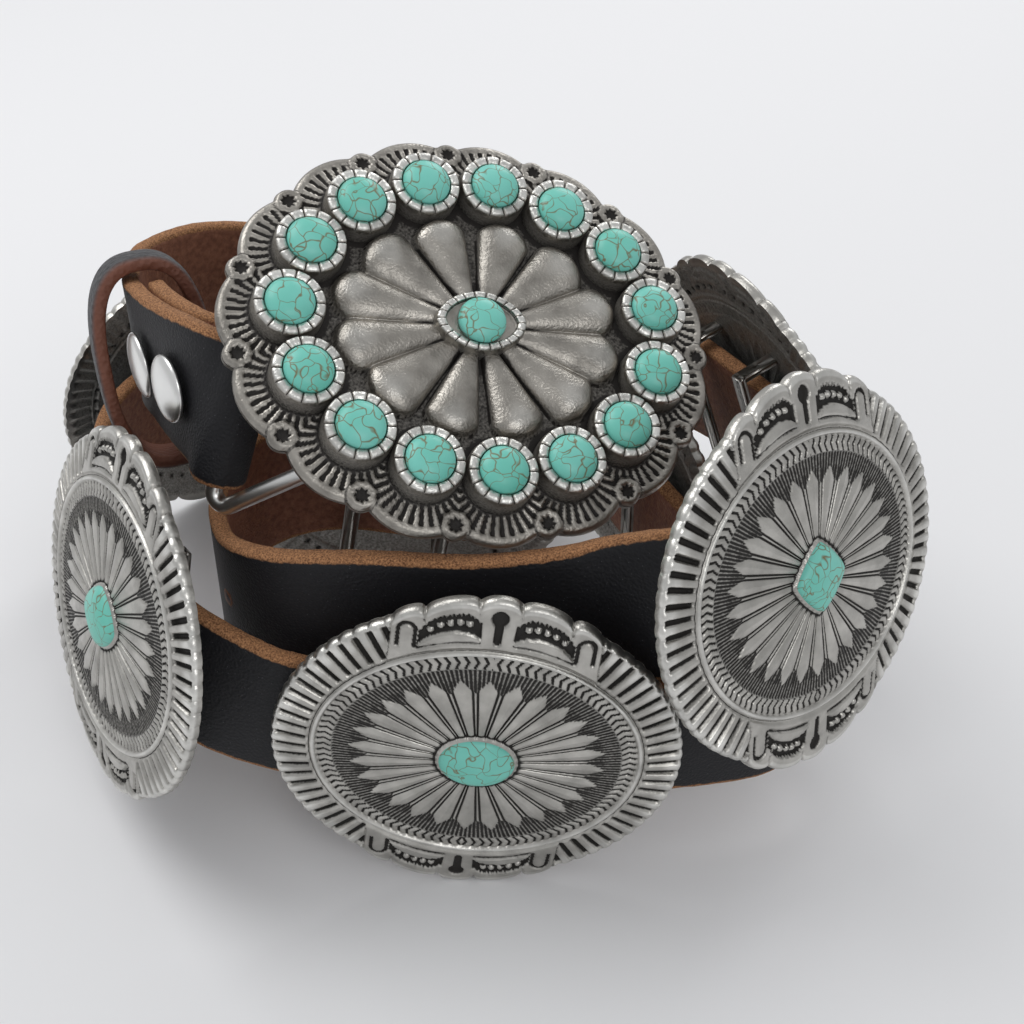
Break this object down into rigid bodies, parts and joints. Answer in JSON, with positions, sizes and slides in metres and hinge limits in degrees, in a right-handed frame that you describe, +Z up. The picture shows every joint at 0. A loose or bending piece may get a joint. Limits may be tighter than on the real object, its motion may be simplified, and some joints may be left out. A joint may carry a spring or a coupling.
{
  "type": "concho belt",
  "caption": "Leather belt coiled on edge, with large domed oval cast conchos set with turquoise and a scalloped oval plate buckle on a wire bail.",
  "frame": {"origin": "centre of the standing belt's bounding box in X and Y, on the surface it stands on", "axes": "+Z up, -Y towards the side that shows the buckle plate and the front concho"},
  "size_m": [0.2206, 0.1902, 0.1447],
  "materials": {
    "strap_leather": "black grained face, tan bevelled edges and a brown flesh side",
    "keeper_leather": "dark grey pebbled face, reddish brown cut edges",
    "snap_metal": "satin domed caps",
    "wire": "polished round wire",
    "cast_silver": "light antique silver with blackened recesses",
    "dark_silver": "antique pewter, blackened between the reliefs",
    "turquoise": "turquoise with golden brown matrix veins"
  },
  "bodies": {
    "belt": {"strap": "strap_leather", "keeper": "keeper_leather", "snap_1": "snap_metal", "snap_2": "snap_metal", "bail": "wire", "concho_1": "cast_silver", "concho_2": "cast_silver", "concho_3": "cast_silver", "concho_4": "cast_silver", "concho_5": "cast_silver", "concho_6": "cast_silver", "concho_7": "cast_silver", "concho_8": "cast_silver", "stone_1": "turquoise", "stone_2": "turquoise", "stone_3": "turquoise", "stone_4": "turquoise", "stone_5": "turquoise", "stone_6": "turquoise", "stone_7": "turquoise", "stone_8": "turquoise"},
    "buckle": {"buckle": "dark_silver", "buckle_stone_1": "turquoise", "buckle_stone_2": "turquoise", "buckle_stone_3": "turquoise", "buckle_stone_4": "turquoise", "buckle_stone_5": "turquoise", "buckle_stone_6": "turquoise", "buckle_stone_7": "turquoise", "buckle_stone_8": "turquoise", "buckle_stone_9": "turquoise", "buckle_stone_10": "turquoise", "buckle_stone_11": "turquoise", "buckle_stone_12": "turquoise", "buckle_stone_13": "turquoise", "buckle_stone_14": "turquoise", "buckle_stone_15": "turquoise", "buckle_centre_stone": "turquoise"}
  },
  "joints": [
    {"name": "buckle_hinge", "type": "hinge", "parent": "belt", "child": "buckle", "pos_m": [-0.02379, -0.0241, 0.11252], "axis": [-0.0762, 0.8479, 0.5246], "range_deg": [0, 12]}
  ]
}
